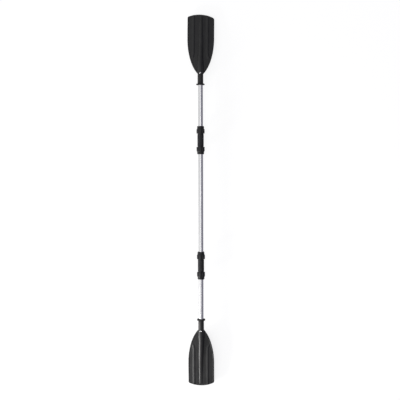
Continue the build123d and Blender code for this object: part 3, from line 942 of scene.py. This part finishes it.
spine_stations = (0.0, 33.0, 89.0, 170.0, 257.0, 353.0)
spine_half_widths = (1.0, 1.0, 0.90, 0.75, 0.63, 0.48)
spine_half_heights = (1.0, 1.0, 0.75, 0.48, 0.33, 0.22)
spine_level_end = spine_stations[1]  # the spine's middle stays on the shaft's axis up to here
spine_settling = 320.0       # and has come down to the plate's middle this much further on
spine_shares = [min(1.0, 1 - (station - spine_level_end) / spine_settling) for station in spine_stations]
spine_rises = [plate_drop * share**2 for share in spine_shares]

# %% [markdown]
# The outline's shoulder is a Bezier curve that leaves the socket at 45 degrees and runs into the
# straight side. The tip is an arc whose middle is off the blade's axis, so one corner reaches further.
# The two blades are a pair: the longer edge is on the same side of the paddle at both ends, and so on
# opposite sides as each blade sees itself. "Long side" is -1 or +1 for it. The outline could be
# drawn as a curve object and filled, but a formula also gives the half width at any station.

# %% Outline
share = np.linspace(0, 1, 160)[:, None]
shoulder_curve = (
    (1 - share) ** 3 * np.array((root_half_width, 0.0))
    + 3 * (1 - share) ** 2 * share * np.array((root_half_width + shoulder_pull, shoulder_pull))
    + 3 * (1 - share) * share**2 * np.array((blade_half_width, shoulder_length - side_pull))
    + share**3 * np.array((blade_half_width, shoulder_length))
)
lead = 40.0                  # the curve's first direction, carried on below the neck
outline = np.vstack(((root_half_width - lead, -lead), shoulder_curve))


def side_reach(station):
    """Half width of the blade's outline at a distance from the neck."""
    return np.interp(station, outline[:, 1], outline[:, 0])


def crown(x, long_side):
    """Distance from the neck to the tip's arc, drawn in by the edge's rounding."""
    middle = blade_length - crown_radius
    return middle + np.sqrt((crown_radius - edge_round) ** 2 - (x - long_side * crown_offset) ** 2)


def along_spine(values, where):
    """Smooth curve through one value for each of the spine's stations, level at the socket."""
    stations, values = np.array(spine_stations), np.array(values)
    slopes = np.gradient(values, stations)
    slopes[:2] = 0
    index = np.clip(np.searchsorted(stations, where, side="right") - 1, 0, len(stations) - 2)
    run = stations[index + 1] - stations[index]
    part = np.clip((where - stations[index]) / run, 0, 1)
    lift = (2 * part**3 - 3 * part**2 + 1) * values[index] + (3 * part**2 - 2 * part**3) * values[index + 1]
    lean = (part**3 - 2 * part**2 + part) * slopes[index] + (part**3 - part**2) * slopes[index + 1]
    return lift + lean * run


print("outline half width at 80 mm", round(float(side_reach(80.0)), 2))

# %% [markdown]
# The grid's rows run across the blade and bend into the tip's arc near the end. Its columns sit
# close together where the relief is: at the spine's foot, on the ribs and on the bead. Near the two
# tip corners the grid is pushed in so that its own corner becomes round.

# %% Grid of the blade
socket_side = socket_radius * sin(radians(80))
neck_start, neck_end, straight_end = -12, 30, 268  # stations where the spacing of the rows changes
neck_blend = (-12, 12)       # the outline leans away from the shaft over these stations
edge_blend = (-2, 12)        # the edge thins from the socket's side to the plate's edge
spine_turn = (50, 210)       # the spine leaves the shaft's axis
columns_open = (76, 98)      # the columns leave their even shares for the ribs' lines
neck_fillet = 2.5            # where the edge leaves the socket
widest_foot = 0.9            # share of the half width that the spine's foot line keeps within
row_marks = np.concatenate((
    np.linspace(socket_edge - socket_length, neck_start, 14, endpoint=False),
    np.linspace(neck_start, neck_end, 34, endpoint=False),
    np.linspace(neck_end, straight_end, 86),
))
tip_rows = 34
tip_crowding = 1.6           # the rows gather towards the tip's edge
tip_share = 1 - (1 - np.arange(1, tip_rows + 1) / tip_rows) ** tip_crowding
nominal = np.concatenate((row_marks, straight_end + (blade_length - straight_end) * tip_share))
tip_weight = np.concatenate((np.zeros(len(row_marks)), tip_share))
zone_columns = (12, 6, 6, 6, 7, 8)
narrow_shares = (0.0, 0.42, 0.5, 0.58, 0.86, 1.0)


def edge_bulge(station):
    """How far the edge stands out from the grid's own edge, on the socket and past the neck."""
    at_socket = socket_radius - socket_side
    return at_socket + (edge_round - at_socket) * smooth_step(*edge_blend, station)


def rib_centre(station):
    """Distance of a rib's line from the blade's axis."""
    back = np.clip(rib_start - station, 0, rib_start - rib_foot)
    return rib_offset + rib_flare - np.sqrt(rib_flare**2 - back**2)


def leaning(station):
    """How far the outline's middle line lies aside of the shaft's axis."""
    return (outline_shift + station * sin(outline_lean)) * smooth_step(*neck_blend, station)


def spine_line(station):
    """How far the spine's middle has moved aside of the shaft's axis, past the end of the tube inside."""
    return (outline_shift + spine_aside + station * sin(outline_lean)) * smooth_step(*spine_turn, station)


def column_places(edge, long_side):
    """Distance from the outline's middle line for each row and half column, edge last."""
    reach = soft_max(0 * nominal + socket_side, side_reach(nominal) - edge_bulge(nominal), neck_fillet)
    foot = socket_radius * along_spine(spine_half_widths, nominal) + spine_margin
    foot = np.minimum(foot + edge * (spine_line(nominal) - leaning(nominal)), widest_foot * reach)
    centre = rib_centre(nominal)
    inner, outer = (steep_flank, gentle_flank) if edge == long_side else (gentle_flank, steep_flank)
    rim = reach - rim_reach
    wide = np.stack((foot, centre - inner, centre, np.minimum(centre + outer, rim - 0.5), rim, reach))
    narrow = np.stack([foot + (reach - foot) * part for part in narrow_shares])
    marks = narrow + (wide - narrow) * smooth_step(*columns_open, nominal)
    marks = np.vstack((0 * reach, marks))
    places = [marks[0]]
    for zone, columns in enumerate(zone_columns):
        for column in range(1, columns + 1):
            places.append(marks[zone] + (marks[zone + 1] - marks[zone]) * column / columns)
    return np.stack(places, axis=1)


def rounded_corner(x, y, edge, long_side):
    """Pushes the grid in at one tip corner, so that its edge follows the corner's arc."""
    reach = blade_half_width - edge_round
    corner_radius = long_corner_radius if edge == long_side else short_corner_radius
    slope = asin(abs(edge * reach - long_side * crown_offset) / (crown_radius - edge_round))
    cell = (corner_radius - edge_round) * tan((pi / 2 - slope) / 2)
    width = cell * cos(slope)
    aside = (reach - edge * x) / width
    below = (crown(x, long_side) - y) / cell
    near_side = np.clip(1 - aside, 0, 1)
    near_tip = np.clip(1 - below, 0, 1)
    aside = aside + near_side - near_side * np.sqrt(1 - near_tip**2 / 2)
    below = below + near_tip - near_tip * np.sqrt(1 - near_side**2 / 2)
    near = (edge * x > 0) & (nominal[:, None] > straight_end)
    moved_x = np.where(near, edge * (reach - aside * width), x)
    moved_y = np.where(near, crown(moved_x, long_side) - below * cell, y)
    return moved_x, moved_y


def leaned(x, y):
    """From the outline's own lines to the shaft's: past the neck, the outline leans a little aside."""
    share = smooth_step(*neck_blend, y)
    moved_x = x + share * (x * (cos(outline_lean) - 1) + y * sin(outline_lean) + outline_shift)
    moved_y = y + share * (y * (cos(outline_lean) - 1) - x * sin(outline_lean))
    return moved_x, moved_y


def blade_grid(long_side):
    """The grid along the outline's own lines, over the whole socket and blade."""
    x = np.concatenate((-column_places(-1, long_side)[:, :0:-1], column_places(1, long_side)), axis=1)
    y = np.repeat(nominal[:, None], x.shape[1], axis=1)
    in_tip = tip_weight > 0
    y[in_tip] = straight_end + (crown(x[in_tip], long_side) - straight_end) * tip_weight[in_tip, None]
    for edge in (-1, 1):
        x, y = rounded_corner(x, y, edge, long_side)
    return x, y


print("blade grid", blade_grid(-1)[0].shape)

# %% [markdown]
# The relief needs each point's distance from the edge, for the bead. It is measured to the grid's own
# border, which runs up one side, over the tip and down the other.

# %% Relief of the blade
sunk_plate = 12.0            # puts the plate well inside the socket
sunk_spine = 3.0             # and the spine inside the plate at the tip
plate_start = (-10, 2)       # the plate comes out of the socket over these stations
spine_fade = (12, 2)         # the spine goes into the plate at these distances from the tip
rim_flank = 0.8              # half the width of the bead's slope
rib_fade = (rib_foot - 3, rib_foot + 5)
outside_slope = 4            # how steeply the spine's height field falls away past its side


def border_of(grid):
    """Values along the grid's border, up one side, over the tip and down the other."""
    return np.concatenate((grid[:, 0], grid[-1, 1:-1], grid[::-1, -1]))


def distance_to_border(x, y):
    """Distance from each grid point to the border's nearest run."""
    border_x, border_y = border_of(x), border_of(y)
    start = np.stack((border_x[:-1], border_y[:-1]), axis=-1)
    run = np.stack((np.diff(border_x), np.diff(border_y)), axis=-1)
    length = np.maximum((run**2).sum(-1), 1e-12)
    nearest = np.full(x.shape, np.inf)
    for (start_x, start_y), (run_x, run_y), squared in zip(start, run, length):
        part = np.clip(((x - start_x) * run_x + (y - start_y) * run_y) / squared, 0, 1)
        nearest = np.minimum(nearest, (x - start_x - part * run_x) ** 2 + (y - start_y - part * run_y) ** 2)
    return np.sqrt(nearest)


def spine_height(x, y):
    """Half height of the socket and of the spine that carries on from it, by distance from the axis."""
    width = socket_radius * along_spine(spine_half_widths, y)
    height = socket_radius * along_spine(spine_half_heights, y)
    rounded = height * np.sqrt(np.maximum(1 - (x / width) ** 2, 0))
    return np.where(np.abs(x) < width, rounded, -outside_slope * (np.abs(x) - width))


def rib_height(x, y, long_side):
    """The two ribs: straight to the tip, flaring out where they start, gentler towards the longer edge."""
    aside = np.abs(x) - rib_offset
    flare = rib_flare - np.sqrt((rib_offset + rib_flare - np.abs(x)) ** 2 + (rib_start - y) ** 2)
    off = np.where(y > rib_start, aside, flare)
    width = np.where(off * np.sign(x) * long_side > 0, gentle_flank, steep_flank)
    flank = 1 - smooth_step(rib_crest, width, np.abs(off))
    return rib_rise * flank * smooth_step(*rib_fade, y)


def relief(own_x, own_y, long_side):
    """Heights of both skins over the plate's middle, for a grid along the outline's own lines."""
    x, y = leaned(own_x, own_y)
    edge_distance = distance_to_border(own_x, own_y) + edge_round
    past_neck = smooth_step(*plate_start, y)
    on_rim = 1 - smooth_step(rim_width - rim_flank, rim_width + rim_flank, edge_distance)
    plate = half_web + rim_rise * on_rim - sunk_plate * (1 - past_neck)
    middle = -cup_drop * (x / blade_half_width) ** 2 * past_neck
    fade = smooth_step(*spine_fade, crown(own_x, long_side) - own_y)
    spine = spine_height(x - spine_line(y), y) * (1 - fade) - sunk_spine * fade
    spine_rise = along_spine(spine_rises, y)
    back = soft_max(middle + plate + rib_height(own_x, own_y, long_side), spine + spine_rise, spine_blend)
    face = -soft_max(plate - middle, spine - spine_rise, spine_blend)
    return back, face


# %% [markdown]
# The border strip is half an ellipse from skin to skin, pushed out along the border's own normal.
# Then the whole is bent: a height above the plate's middle becomes a height above the shaft on the
# spoon's large circle, while the outline seen from above stays as it is.

# %% Skins, edge strip and bore
strip_steps = 10


def bent(x, y, height):
    """Point of the spooned blade. Past the neck, the plate lies on the spoon's circle."""
    forward = np.maximum(y, 0)
    dipped = np.sqrt((spoon_radius + height) ** 2 - forward**2) - spoon_radius
    return np.stack((x, y, dipped - plate_drop), axis=-1)


def border_strip(grid_x, grid_y, back_height, face_height):
    """Points between the two skins along the whole border, from the back skin to the face."""
    x, y, top, bottom = [border_of(grid)[:, None] for grid in (grid_x, grid_y, back_height, face_height)]
    run_x, run_y = np.gradient(x, axis=0), np.gradient(y, axis=0)
    length = np.hypot(run_x, run_y)
    angle = pi * np.arange(1, strip_steps) / strip_steps
    out = edge_bulge(y) * np.sin(angle)
    height = (top + bottom) / 2 + (top - bottom) / 2 * np.cos(angle)
    return bent(x - run_y / length * out, y + run_x / length * out, height)


def blade_points_and_faces(long_side):
    """The whole moulding: bore, mouth, socket, both skins and the edge, as one closed mesh."""
    own_x, own_y = blade_grid(long_side)
    x, y = leaned(own_x, own_y)
    grid_rows, grid_columns = x.shape
    back_height, face_height = relief(own_x, own_y, long_side)
    back, face = bent(x, y, back_height), bent(x, y, face_height)
    strip = border_strip(x, y, back_height, face_height)
    left_strip, right_strip = strip[:grid_rows], strip[::-1][:grid_rows]
    tip_strip = strip[grid_rows:-grid_rows]
    loops = np.concatenate((back, right_strip, face[:, ::-1], left_strip[:, ::-1]), axis=1)
    around = loops.shape[1]
    ring = loops[0][:, (0, 2)]
    ring = ring / np.linalg.norm(ring, axis=1)[:, None]
    mouth = -socket_length
    steps = [(socket_edge * (1 - sin(a)), socket_edge * (1 - cos(a))) for a in np.radians((90, 60, 30))]
    rings = [(mouth + socket_depth, socket_bore)]
    rings += [(mouth + deep, socket_bore + wide) for wide, deep in steps]
    rings += [(mouth, socket_bore + socket_edge), (mouth, socket_radius - socket_edge)]
    rings += [(mouth + deep, socket_radius - wide) for deep, wide in steps[1:]]
    bore = [np.stack((ring[:, 0] * r, np.full(around, s), ring[:, 1] * r), axis=-1) for s, r in rings]
    loops = np.concatenate((bore, loops))
    points = np.concatenate((loops.reshape(-1, 3), tip_strip.reshape(-1, 3)))
    faces = ring_faces(len(loops), around, False)
    faces.append(list(range(around)))
    first = (len(loops) - 1) * around
    inner = strip_steps - 1
    tip = np.empty((grid_columns, strip_steps + 1), int)
    tip[:, 0] = first + np.arange(grid_columns)
    tip[-1, 1:-1] = first + grid_columns + np.arange(inner)
    tip[:, -1] = first + 2 * grid_columns + inner - 1 - np.arange(grid_columns)
    tip[0, 1:-1] = first + around - 1 - np.arange(inner)
    tip[1:-1, 1:-1] = len(loops) * around + np.arange((grid_columns - 2) * inner).reshape(-1, inner)
    faces += quads(tip.T)
    return points, faces


print("edge strip of", strip_steps, "steps")

# %% [markdown]
# The rivets need flat seats in the round socket. A seat is a real cut, so a boolean with two short
# cylinders is the plain way. Both blades come from the same functions: the right one has its longer
# edge on its other side, and is turned half a turn about Z.

# %% Blades
seat_radius = 4.1
seat_depth = 0.6
seat_around = 48


def cut_rivet_seats(piece, side):
    """Cuts a flat round seat into the top and the bottom of the socket."""
    cutter = bmesh.new()
    shaft = Matrix.Translation((0, 0, axis_z)) @ Matrix.Rotation(-END_TURNS[side], 4, "Y")
    for up in (1, -1):
        height = up * (socket_radius - seat_depth + seat_radius) * MM
        place = shaft @ Matrix.Translation((0, side * (neck_station + rivet_station) * MM, height))
        size = {"radius1": seat_radius * MM, "radius2": seat_radius * MM, "depth": 2 * seat_radius * MM}
        bmesh.ops.create_cone(cutter, cap_ends=True, segments=seat_around, matrix=place, **size)
    cutter_mesh = bpy.data.meshes.new("seat_cutter")
    cutter.to_mesh(cutter_mesh)
    cutter.free()
    cutter_object = in_scene("seat_cutter", cutter_mesh)
    cut = piece.modifiers.new("rivet_seats", "BOOLEAN")
    cut.object = cutter_object
    cut.operation = "DIFFERENCE"
    cut.solver = "EXACT"
    seen_from = bpy.context.evaluated_depsgraph_get()
    piece.data = bpy.data.meshes.new_from_object(piece.evaluated_get(seen_from))
    piece.modifiers.clear()
    bpy.data.objects.remove(cutter_object)


for end_name, side in ENDS:
    points, faces = blade_points_and_faces(-side)
    turned = points * np.array((side, side, 1)) + np.array((0, side * neck_station, 0))
    blade = new_piece(f"{end_name}_blade_moulding", turned, faces, BLADE_FINISH, side)
    cut_rivet_seats(blade, side)
    stand_in(blade, f"{end_name}_blade", f"{end_name}_blade_section")

# %% [markdown]
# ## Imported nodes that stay
# Rivets, collets, seals and plugs are right as they are, so they only get their finishes.

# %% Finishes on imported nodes


def finish_node(node, finish):
    """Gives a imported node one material."""
    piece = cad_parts[node]
    if not piece.material_slots:
        piece.data.materials.append(finish)
    for slot in piece.material_slots:
        slot.material = finish


for end_name, _ in ENDS:
    finish_node(f"{end_name}_blade_rivets", RIVET_FINISH)
    for half_name in ("inner", "outer"):
        finish_node(f"{end_name}_{half_name}_collet", COLLET_FINISH)
        finish_node(f"{end_name}_{half_name}_seal", RUBBER_FINISH)
    for plug in ("middle_tube_plug", "outer_tube_plug"):
        finish_node(f"{end_name}_{plug}", RUBBER_FINISH)
